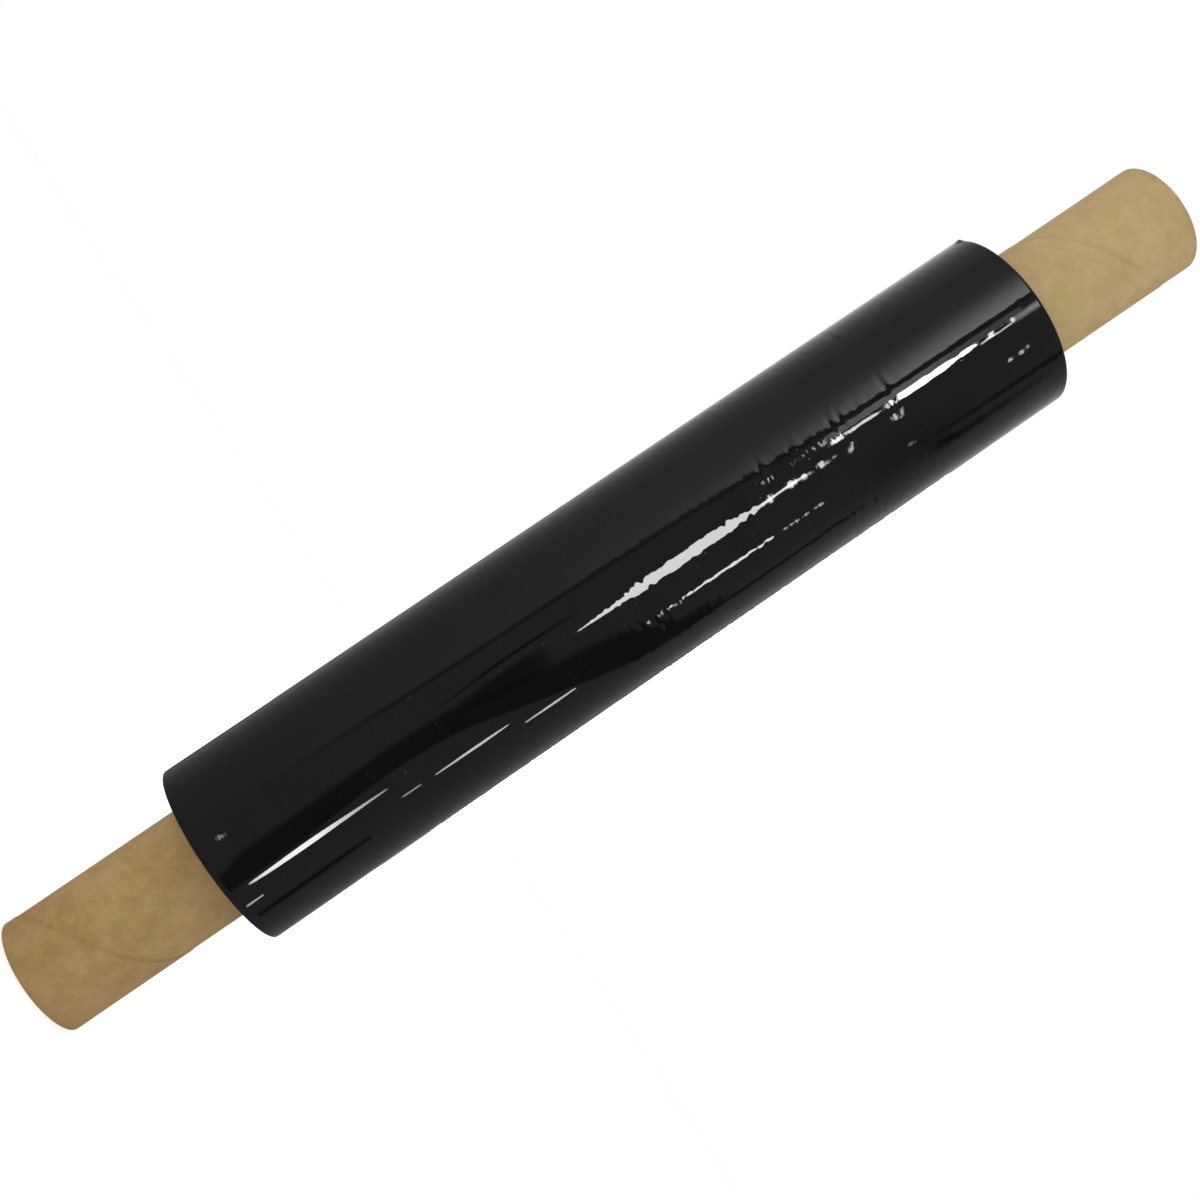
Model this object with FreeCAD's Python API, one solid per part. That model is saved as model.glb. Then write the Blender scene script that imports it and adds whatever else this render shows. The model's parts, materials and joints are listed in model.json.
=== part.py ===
# An extended-core stretch wrap roll, in millimetres.
#
# Black stretch film is wound on a spiral-wound paperboard core. The core is longer than the film
# is wide, and its two bare ends are the hand grips. The roll stands on the foot end of its core:
# +Z runs up the core, and the origin is the centre of the core's foot rim. Angles are in degrees
# and turn from +X towards +Y.
import FreeCAD, Part

import math
import os

from FreeCAD import Vector

# Core: a tube rolled from strips of kraft board
core_bore_radius = 19.0
core_wall = 6.5
foot_grip_length = 84.7
head_grip_length = 82.7

# Film: one long web wound on the core
film_width = 400.0
film_build = 15.3

# The web wanders sideways while it is wound, so bands of turns stand out or lie back at each end
web_wander = 0.6
turn_band_count = 9
wander_step_angle = 137.5

# The last turn is a little loose, so the cut end of the web stands up as a ledge along the roll
tail_ledge = 0.25
tail_angle = 62.0

# The outermost strip of board leaves an open helical joint between its edges
ply_thickness = 0.4
ply_joint_gap = 0.9
ply_pitch = 100.0
ply_start_angle = 165.5

# Sizes that follow from those above
core_outer_radius = core_bore_radius + core_wall
film_outer_radius = core_outer_radius + film_build
film_zone_length = film_width + web_wander
core_length = foot_grip_length + film_zone_length + head_grip_length


def direction(angle):
    """The unit vector at an angle in degrees, square to the core."""
    turn = math.radians(angle)
    return Vector(math.cos(turn), math.sin(turn), 0)


def tube(inner_radius, outer_radius, base_height, length):
    """A plain ring about +Z."""
    base = Vector(0, 0, base_height)
    outside = Part.makeCylinder(outer_radius, length, base)
    return outside.cut(Part.makeCylinder(inner_radius, length, base))


def ply_joint():
    """The helical gap between the edges of the outermost strip, run on past both rims."""
    overrun = ply_pitch / 8
    start_angle = ply_start_angle - 360.0 * overrun / ply_pitch
    floor_radius = core_outer_radius - ply_thickness
    open_radius = core_outer_radius + ply_thickness
    # The gap is wider measured up the core than square to its own edges
    helix_slope = math.atan2(ply_pitch, 2 * math.pi * core_outer_radius)
    half_height = ply_joint_gap / 2 / math.cos(helix_slope)
    corners = [
        Vector(floor_radius, 0, -half_height),
        Vector(open_radius, 0, -half_height),
        Vector(open_radius, 0, half_height),
        Vector(floor_radius, 0, half_height),
    ]
    section = Part.makePolygon(corners + corners[:1])
    spine = Part.Wire(Part.makeHelix(ply_pitch, core_length + 2 * overrun, core_outer_radius))
    groove = spine.makePipeShell([section], True, True)
    groove.rotate(Vector(0, 0, 0), Vector(0, 0, 1), start_angle)
    groove.translate(Vector(0, 0, -overrun))
    return groove


def core_tube():
    """The paperboard core, with square-cut rims and the open joint of its outermost strip."""
    wall = tube(core_bore_radius, core_outer_radius, 0, core_length)
    return wall.cut(ply_joint())


def banded_turns():
    """The wound web as bands of turns, each of the film's full width and set a little aside."""
    band_build = film_build / turn_band_count
    bands = []
    for band in range(turn_band_count):
        wander = web_wander * (1 - math.cos(math.radians(band * wander_step_angle))) / 2
        inner_radius = core_outer_radius + band * band_build
        outer_radius = inner_radius + band_build
        if band == turn_band_count - 1:
            # the outermost band is left over size, and the last turn's outline trims it
            outer_radius += 2 * tail_ledge
        bands.append((inner_radius, outer_radius, foot_grip_length + wander))
    inner_edge = []
    outer_edge = []
    for inner_radius, outer_radius, foot_height in bands:
        head_height = foot_height + film_width
        inner_edge += [Vector(inner_radius, 0, foot_height), Vector(outer_radius, 0, foot_height)]
        outer_edge += [Vector(inner_radius, 0, head_height), Vector(outer_radius, 0, head_height)]
    outline = inner_edge + outer_edge[::-1]
    profile = Part.Face(Part.makePolygon(outline + outline[:1]))
    return profile.revolve(Vector(0, 0, 0), Vector(0, 0, 1), 360)


def spiral_prism():
    """The last turn's outline as a prism: four quarter arcs of falling radius, and the ledge."""
    quarter_drop = tail_ledge / 4
    centre = Vector(0, 0, 0)
    radius = film_outer_radius
    start = direction(tail_angle) * radius
    first_point = start
    edges = []
    for quarter in range(4):
        angle = tail_angle + 90.0 * quarter
        middle = centre + direction(angle + 45) * radius
        end = centre + direction(angle + 90) * radius
        edges.append(Part.Arc(start, middle, end).toShape())
        centre = centre + direction(angle + 90) * quarter_drop
        radius -= quarter_drop
        start = end
    edges.append(Part.LineSegment(start, first_point).toShape())
    outline = Part.Face(Part.Wire(edges))
    outline.translate(Vector(0, 0, foot_grip_length))
    return outline.extrude(Vector(0, 0, film_zone_length))


def film_roll():
    """The wound film as one solid, with banded ends and the ledge of its cut end outside."""
    return banded_turns().common(spiral_prism())


def write_part(name, shape):
    """Write one node, after making sure that it is one closed solid."""
    solids = shape.Solids
    if len(solids) != 1 or not shape.isValid():
        raise ValueError(f"{name} came out as {len(solids)} solids, valid: {shape.isValid()}")
    solids[0].exportStep(f"parts/{name}.step")
    print(name, "volume", round(solids[0].Volume / 1000, 2), "cm3, faces", len(solids[0].Faces))


os.makedirs("parts", exist_ok=True)
write_part("core_tube", core_tube())
write_part("film_roll", film_roll())
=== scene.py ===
import json
import logging
import math
from collections.abc import Callable
from dataclasses import dataclass
from enum import Enum

import bmesh
import bpy
import numpy as np
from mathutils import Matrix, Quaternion, Vector


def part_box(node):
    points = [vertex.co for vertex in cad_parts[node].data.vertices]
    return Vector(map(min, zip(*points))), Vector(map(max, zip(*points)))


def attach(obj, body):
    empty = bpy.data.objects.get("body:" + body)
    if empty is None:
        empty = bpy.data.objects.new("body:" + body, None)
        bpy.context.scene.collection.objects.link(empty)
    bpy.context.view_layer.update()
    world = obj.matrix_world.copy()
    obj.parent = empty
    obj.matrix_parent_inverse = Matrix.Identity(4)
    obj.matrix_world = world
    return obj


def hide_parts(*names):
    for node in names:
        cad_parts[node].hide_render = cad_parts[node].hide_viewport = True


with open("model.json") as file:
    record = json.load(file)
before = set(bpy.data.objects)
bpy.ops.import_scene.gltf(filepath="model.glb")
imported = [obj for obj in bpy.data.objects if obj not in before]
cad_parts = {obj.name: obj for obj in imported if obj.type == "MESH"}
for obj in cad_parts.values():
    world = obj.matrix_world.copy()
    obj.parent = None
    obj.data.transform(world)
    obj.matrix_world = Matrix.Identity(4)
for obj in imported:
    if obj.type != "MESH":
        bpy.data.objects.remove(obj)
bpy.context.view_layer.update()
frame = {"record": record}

MM = 0.001
WELD = 0.0001 * MM

log = logging.getLogger("stretch_wrap_roll")

Colour = tuple[float, float, float]


class Tree(Enum):
    """The two kinds of node tree that this scene builds."""

    SHADER = "ShaderNodeTree"
    GEOMETRY = "GeometryNodeTree"


def math_method(operation: str, swapped: bool = False) -> Callable[..., "Value"]:
    """The method of Value that adds a Math node between two values.

    Args:
        operation: The node's operation.
        swapped: Whether the method's own value is the second one.

    Returns:
        The method, which takes the other value or number.
    """
    def method(self: "Value", other: "Value | float") -> "Value":
        """Add the node."""
        return self.sheet.math(operation, *((other, self) if swapped else (self, other)))

    return method


class Value:
    """A node's output, with signs and methods that add the nodes to work on it.

    A comparison gives 1 where it holds and 0 elsewhere. Where a method takes a number, it takes
    another value too.

    Args:
        sheet: The sheet that the node is on.
        socket: The node's output socket.
    """

    def __init__(self, sheet: "NodeSheet", socket: bpy.types.NodeSocket) -> None:
        self.sheet = sheet
        self.socket = socket

    __add__ = __radd__ = math_method("ADD")
    __sub__ = math_method("SUBTRACT")
    __rsub__ = math_method("SUBTRACT", swapped=True)
    __mul__ = __rmul__ = math_method("MULTIPLY")
    __truediv__ = math_method("DIVIDE")
    __lt__ = math_method("LESS_THAN")
    __gt__ = math_method("GREATER_THAN")
    at_least = math_method("MAXIMUM")
    at_most = math_method("MINIMUM")

    def __abs__(self) -> "Value":
        """This without its sign."""
        return self.sheet.math("ABSOLUTE", self)

    def ease(self, low: "Value | float", high: "Value | float", start: float = 0.0,
             end: float = 1.0) -> "Value":
        """A smooth step from start to end while this goes from low to high."""
        return self.sheet.flow("ShaderNodeMapRange", {
            "Value": self, "From Min": low, "From Max": high, "To Min": start, "To Max": end,
        }, interpolation_type="SMOOTHSTEP")

    def bell(self, centre: "Value | float", width: float) -> "Value":
        """A smooth bump, 1 where this is at the centre and near 0 past two widths."""
        away = (self - centre) / width
        return self.sheet.math("EXPONENT", away * away * -1.0)

    def parts(self) -> "list[Value]":
        """The three parts of a vector."""
        node = self.sheet.node("ShaderNodeSeparateXYZ", {0: self})
        return [Value(self.sheet, socket) for socket in node.outputs]

    def stretch(self, factors: Colour) -> "Value":
        """A vector or colour with each part multiplied by its own factor."""
        return self.sheet.flow("ShaderNodeVectorMath", {0: self, 1: factors},
                               operation="MULTIPLY")

    def noise(self, scale: "Value | float" = 1.0, detail: float = 2.0, rough: float = 0.5,
              warp: float = 0.0) -> "Value":
        """Smooth noise at this place, with a mean of about one half."""
        return self.sheet.flow("ShaderNodeTexNoise", {
            "Vector": self, "Scale": scale, "Detail": detail, "Roughness": rough,
            "Distortion": warp})

    def tint(self, first: "Value | Colour", second: "Value | Colour") -> "Value":
        """The colour that lies this share of the way from first to second."""
        return self.sheet.flow("ShaderNodeMix", {0: self, 6: first, 7: second}, 2,
                               data_type="RGBA")

    def bump(self, distance: float) -> "Value":
        """The surface's normal where this is its height, in distances."""
        return self.sheet.flow("ShaderNodeBump", {"Height": self, "Distance": distance})


class NodeSheet:
    """One node tree being laid out, of either kind.

    Args:
        tree: The node tree to fill.
    """

    def __init__(self, tree: bpy.types.NodeTree) -> None:
        self.tree = tree

    @classmethod
    def group(cls, name: str, kind: Tree, inputs: dict[str, float | str],
              outputs: dict[str, str]) -> "tuple[NodeSheet, list[Value]]":
        """Start a node group.

        Args:
            name: The group's name.
            kind: Shader or geometry.
            inputs: Input name to default number, or to socket type where there is no default.
            outputs: Output name to socket type.

        Returns:
            The sheet, and the inputs in their order.
        """
        sheet = cls(bpy.data.node_groups.new(name, kind.value))
        new_socket = sheet.tree.interface.new_socket
        for label, given in inputs.items():
            plain = isinstance(given, str)
            socket_type = "NodeSocket" + (given if plain else type(given).__name__.title())
            socket = new_socket(label, in_out="INPUT", socket_type=socket_type)
            if not plain:
                socket.default_value = given
        for label, socket_type in outputs.items():
            new_socket(label, in_out="OUTPUT", socket_type="NodeSocket" + socket_type)
        entry = sheet.node("NodeGroupInput")
        return sheet, [Value(sheet, entry.outputs[label]) for label in inputs]

    def give(self, **outputs: Value) -> bpy.types.NodeTree:
        """Feed the group's outputs and give back the finished group."""
        self.node("NodeGroupOutput", outputs)
        return self.tree

    def node(self, kind: str, inputs: dict | None = None, **settings: object) -> bpy.types.Node:
        """Add a node.

        Args:
            kind: The node's type.
            inputs: Input name or number to what it is fed.
            settings: The node's own settings, made before its inputs are fed.

        Returns:
            The node.
        """
        node = self.tree.nodes.new(kind)
        for name, value in settings.items():
            setattr(node, name, value)
        self.feed(node, inputs or {})
        return node

    def flow(self, kind: str, inputs: dict | None = None, output: int | str = 0,
             **settings: object) -> Value:
        """Add a node, as node() does, and take one of its outputs."""
        return Value(self, self.node(kind, inputs, **settings).outputs[output])

    def feed(self, node: bpy.types.Node, inputs: dict) -> None:
        """Link each input that is given a value, and set the others.

        Args:
            node: The node.
            inputs: Input name or number to a value, a number or a colour.
        """
        for name, given in inputs.items():
            socket = node.inputs[name]
            if isinstance(given, Value):
                self.tree.links.new(given.socket, socket)
            else:
                socket.default_value = (*given, 1.0) if socket.type == "RGBA" else given

    def math(self, operation: str, *values: Value | float) -> Value:
        """A Math node."""
        return self.flow("ShaderNodeMath", dict(enumerate(values)), operation=operation)

    def vector(self, *parts: Value | float) -> Value:
        """A vector from its three parts."""
        return self.flow("ShaderNodeCombineXYZ", dict(enumerate(parts)))

    def use(self, group: bpy.types.NodeTree, **values: Value | float) -> dict[str, Value]:
        """Place a shader group and take its outputs; underscores stand for spaces."""
        inputs = {name.replace("_", " "): value for name, value in values.items()}
        node = self.node("ShaderNodeGroup", inputs, node_tree=group)
        return {socket.name: Value(self, socket) for socket in node.outputs}

    def attribute(self, name: str, single: bool = False) -> Value:
        """The vector or single-number attribute of that name, in either kind of tree."""
        if self.tree.type == "SHADER":
            output = "Fac" if single else "Vector"
            return self.flow("ShaderNodeAttribute", output=output, attribute_name=name)
        return self.flow("GeometryNodeInputNamedAttribute", {"Name": name}, "Attribute",
                         data_type="FLOAT" if single else "FLOAT_VECTOR")

    def store(self, geometry: Value, name: str, value: Value, single: bool = False) -> Value:
        """The geometry with a vector or single number stored at each point under that name."""
        return self.flow("GeometryNodeStoreNamedAttribute",
                         {"Geometry": geometry, "Name": name, "Value": value},
                         data_type="FLOAT" if single else "FLOAT_VECTOR", domain="POINT")


def new_object(name: str, data: bpy.types.ID) -> bpy.types.Object:
    """Add an object to the scene."""
    made = bpy.data.objects.new(name, data)
    bpy.context.scene.collection.objects.link(made)
    return made


def grown_mesh(name: str, base: bpy.types.Mesh, tree: bpy.types.NodeTree,
               values: dict[str, object]) -> bpy.types.Mesh:
    """Run a geometry node tree on a mesh and keep the result as a plain mesh.

    Args:
        name: The new mesh's name.
        base: The mesh that the tree starts from.
        tree: The geometry node group.
        values: Input name to value. Each is set by its input's identifier.

    Returns:
        The plain mesh that comes out.
    """
    carrier = new_object(name + "_carrier", base)
    modifier = carrier.modifiers.new("Grow", "NODES")
    modifier.node_group = tree
    for item in tree.interface.items_tree:
        if item.item_type == "SOCKET" and item.in_out == "INPUT" and item.name in values:
            modifier[item.identifier] = values[item.name]
    bpy.context.view_layer.update()
    evaluated = carrier.evaluated_get(bpy.context.evaluated_depsgraph_get())
    mesh = bpy.data.meshes.new_from_object(evaluated)
    mesh.name = name
    carrier.modifiers.remove(modifier)
    bpy.data.objects.remove(carrier)
    return mesh


def add_piece(name: str, mesh: bpy.types.Mesh, node: str) -> None:
    """Show a mesh as a piece of the roll, in the place of its CAD node.

    Args:
        name: The piece's name.
        mesh: The finished mesh, in the row frame.
        node: The CAD node that it stands for.
    """
    piece = new_object(name, mesh)
    mesh.shade_smooth()
    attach(piece, "root")
    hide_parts(node)
    log.info("%s: %d faces", name, len(mesh.polygons))


def mottle_group() -> bpy.types.NodeTree:
    """Cloudy change from place to place, with finer grain in it, as a number around 0."""
    sheet, (place, cloud_scale, grain_scale, grain_share) = NodeSheet.group(
        "Mottle", Tree.SHADER,
        {"Vector": "Vector", "Cloud Scale": 40.0, "Grain Scale": 900.0, "Grain Share": 0.3},
        {"Change": "Float"})
    cloud = place.noise(cloud_scale, 3.0, 0.55, 0.4) - 0.5
    grain = place.noise(grain_scale, 2.0, 0.6) - 0.5
    return sheet.give(Change=(cloud * (1.0 - grain_share) + grain * grain_share) * 2.0)


def dust_group() -> bpy.types.NodeTree:
    """Sparse specks of dust and lint, as a mask."""
    sheet, (place, scale, sparse) = NodeSheet.group(
        "Dust", Tree.SHADER, {"Vector": "Vector", "Scale": 500.0, "Sparse": 0.7},
        {"Mask": "Float"})
    speck = place.noise(scale, 1.0, 0.5, 1.5).ease(sparse, sparse + 0.06)
    region = place.noise(scale / 14.0, 1.0).ease(0.45, 0.6)
    return sheet.give(Mask=speck * region)


def rings_group() -> bpy.types.NodeTree:
    """Thin layers seen edge-on at a wound end, as a height and a tone, both around 0."""
    sheet, (place, layer, uneven) = NodeSheet.group(
        "Layer Rings", Tree.SHADER, {"Vector": "Vector", "Layer": 0.0005, "Uneven": 0.3},
        {"Height": "Float", "Tone": "Float"})
    x, y, _ = place.parts()
    radius = sheet.math("SQRT", x * x + y * y)
    wobble = (place.noise(60.0, 2.0) - 0.5) * uneven * layer
    layers = (radius + wobble) / layer
    band = sheet.vector(layers * 0.37, 0.0, 0.0).noise(1.0, 3.0, 0.7) - 0.5
    wave = sheet.math("SINE", layers * math.tau)
    return sheet.give(Height=wave * 0.5 + band, Tone=band * 2.0)


@dataclass(frozen=True)
class SharedEffects:
    """The node groups that more than one finish uses, built once."""

    mottle: bpy.types.NodeTree
    dust: bpy.types.NodeTree
    rings: bpy.types.NodeTree

    @classmethod
    def build(cls) -> "SharedEffects":
        """Build every shared group."""
        return cls(mottle_group(), dust_group(), rings_group())


def open_material(name: str) -> tuple[bpy.types.Material, NodeSheet, bpy.types.Node]:
    """Start a node material.

    Args:
        name: The material's name.

    Returns:
        The material, its node sheet and its Principled shader.
    """
    material = bpy.data.materials.new(name)
    material.use_nodes = True
    sheet = NodeSheet(material.node_tree)
    return material, sheet, material.node_tree.nodes["Principled BSDF"]


@dataclass(frozen=True)
class KraftFace:
    """The smooth kraft face of a wound ply, with the lines of the joints below showing through.

    Its pattern runs on the piece's wrap attribute: metres along the strip, metres across it
    from the joint, and the strip's width. Its opening attribute says how open the joint is.
    """

    name: str
    brown: Colour = (0.300, 0.183, 0.062)
    straw: Colour = (0.476, 0.349, 0.172)
    rust_shift: Colour = (1.05, 0.92, 0.96)
    olive_shift: Colour = (0.96, 1.05, 0.85)
    dark_line: Colour = (0.230, 0.135, 0.050)
    # painted shade at the foot end and painted light at the head end
    foot_share: float = 0.22
    head_share: float = 0.75
    hue_shift: float = 0.55
    joint_shade: float = 2.6 * MM
    joint_stain: float = 0.32
    rim_scuff: float = 3.5 * MM
    rim_stain: float = 0.45
    lint_stain: float = 0.35
    roughness: float = 0.72
    gloss: float = 0.25
    relief: float = 0.06 * MM

    def material(self, shared: SharedEffects, length: float) -> bpy.types.Material:
        """Build the material.

        Args:
            shared: The shared node groups.
            length: The core's length in metres.

        Returns:
            The material.
        """
        material, sheet, shader = open_material(self.name)
        place = sheet.flow("ShaderNodeTexCoord", output="Object")
        along, across, width = sheet.attribute("wrap").parts()
        height = place.parts()[2]
        cloud = sheet.use(shared.mottle, Vector=place, Cloud_Scale=42.0,
                          Grain_Scale=700.0, Grain_Share=0.25)["Change"]
        fibre = sheet.vector(along * 260.0, across * 1500.0, 0.0).noise(1.0, 3.0, 0.65, 0.6) - 0.5
        blot = place.noise(150.0, 2.0, 0.6, 0.5) - 0.5
        # painted light and shade: the board is painted darker towards the foot and lighter towards
        # the head, standing in for how the lamps fall off along the roll, with its random tone
        # mixed in
        share = (height.ease(0.0, length, self.foot_share, self.head_share)
                 + cloud * 0.45 + blot * 0.65 + fibre * 0.65)
        face = share.tint(self.brown, self.straw)
        # the hue drifts both ways from there, and to rust rather more near the foot
        drift = place.noise(80.0, 6.0, 0.8, 0.4) + height.ease(0.0, 80.0 * MM, 0.035, -0.012)
        for start, full, shift in ((0.49, 0.64, self.rust_shift), (0.51, 0.36, self.olive_shift)):
            shifted = drift.ease(start, full, 0.0, self.hue_shift)
            face = shifted.tint(face, face.stretch(shift))

        edge = across.at_most(width - across)
        joint = (edge.ease(0.2 * MM, self.joint_shade, 1.0, 0.0)
                 * sheet.attribute("opening", single=True))
        # the joints of the two plies below
        under = across.bell(width * 0.93, 1.1 * MM)
        lower = across.bell(width * 0.46, 1.6 * MM)
        to_rim = height.at_most(length - height)
        scuff = (to_rim.ease(0.0, self.rim_scuff, 1.0, 0.0)
                 * place.noise(300.0, 3.0).ease(0.3, 0.75))
        stain = (joint * self.joint_stain + under * 0.07 + lower * 0.05
                 + scuff * self.rim_stain)
        lint = sheet.use(shared.dust, Vector=place, Scale=620.0, Sparse=0.69)["Mask"]
        for mark in (stain, lint * self.lint_stain):
            face = mark.tint(face, self.dark_line)
        relief = fibre * 0.55 + under * 1.2 + lower * -0.8 + cloud * 0.25
        sheet.feed(shader, {
            "Base Color": face,
            "Roughness": self.roughness + cloud * 0.10,
            "Specular IOR Level": self.gloss,
            "Normal": relief.bump(self.relief),
        })
        return material


@dataclass(frozen=True)
class WoundEnds:
    """The ends of a wound piece, where its layers show edge-on as rings.

    The tone goes from the first colour to the second, and tone and roughness each are a level,
    the rings' part and the mottle's part.
    """

    name: str
    first: Colour
    second: Colour
    tone: Colour
    roughness: Colour
    layer: float
    uneven: float
    cloud_scale: float
    grain_scale: float
    grain_share: float
    grain_relief: float
    relief: float
    gloss: float = 0.5

    def material(self, shared: SharedEffects) -> bpy.types.Material:
        """Build the material from the shared groups."""
        material, sheet, shader = open_material(self.name)
        place = sheet.flow("ShaderNodeTexCoord", output="Object")
        rings = sheet.use(shared.rings, Vector=place, Layer=self.layer, Uneven=self.uneven)
        cloud = sheet.use(shared.mottle, Vector=place, Cloud_Scale=self.cloud_scale,
                          Grain_Scale=self.grain_scale, Grain_Share=self.grain_share)["Change"]
        share, rough = (level + rings["Tone"] * ringed + cloud * clouded
                        for level, ringed, clouded in (self.tone, self.roughness))
        sheet.feed(shader, {
            "Base Color": share.tint(self.first, self.second),
            "Roughness": rough,
            "Specular IOR Level": self.gloss,
            "Normal": (rings["Height"] + cloud * self.grain_relief).bump(self.relief),
        })
        return material


BOARD_CUT = WoundEnds(
    "board_cut", (0.400, 0.290, 0.150), (0.240, 0.160, 0.075), tone=(0.45, 0.55, 0.7),
    roughness=(0.88, 0.0, 0.08), layer=0.45 * MM, uneven=0.5, cloud_scale=150.0,
    grain_scale=2600.0, grain_share=0.55, grain_relief=1.1, relief=0.10 * MM, gloss=0.2)
FILM_ENDS = WoundEnds(
    "film_ends", (0.006, 0.006, 0.007), (0.030, 0.030, 0.032), tone=(0.25, 0.7, 0.35),
    roughness=(0.30, 0.10, 0.06), layer=0.35 * MM, uneven=0.25, cloud_scale=70.0,
    grain_scale=1500.0, grain_share=0.4, grain_relief=0.5, relief=0.06 * MM)


@dataclass(frozen=True)
class FilmFace:
    """The outside of the film: near-black, wet-looking, with a faint orange peel.

    Its pattern runs on the piece's wrap attribute: metres round the roll from the film's cut
    end, and metres up the roll from the middle of the film. Its slack attribute says how
    strongly the film is wrinkled there.
    """

    name: str
    black: Colour = (0.0026, 0.0026, 0.0028)
    haze: Colour = (0.0054, 0.0054, 0.0057)
    dust_grey: Colour = (0.12, 0.12, 0.12)
    dust_cover: float = 0.25
    roughness: float = 0.022
    dust_roughness: float = 0.4
    index: float = 1.5
    peel: float = 0.09
    least_ripple: float = 0.04
    relief: float = 0.028 * MM

    def material(self, shared: SharedEffects) -> bpy.types.Material:
        """Build the material from the shared groups."""
        material, sheet, shader = open_material(self.name)
        flat = sheet.attribute("wrap").stretch((1.0, 1.0, 0.0))
        slack = sheet.attribute("slack", single=True)
        cloud = sheet.use(shared.mottle, Vector=flat, Cloud_Scale=28.0,
                          Grain_Scale=1400.0, Grain_Share=0.35)["Change"]
        dust = sheet.use(shared.dust, Vector=flat, Scale=900.0, Sparse=0.73)["Mask"]
        tone = (0.3 + cloud * 0.8).tint(self.black, self.haze)
        peel = flat.noise(650.0, 2.0, 0.5) - 0.5
        ripple = flat.stretch((110.0, 760.0, 0.0)).noise(1.0, 2.0, 0.55, 0.3) - 0.5
        relief = peel * self.peel + ripple * (self.least_ripple + slack)
        sheet.feed(shader, {
            "Base Color": (dust * self.dust_cover).tint(tone, self.dust_grey),
            "Roughness": self.roughness + cloud * 0.012 + dust * self.dust_roughness,
            "IOR": self.index,
            "Normal": relief.bump(self.relief),
        })
        return material


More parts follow.
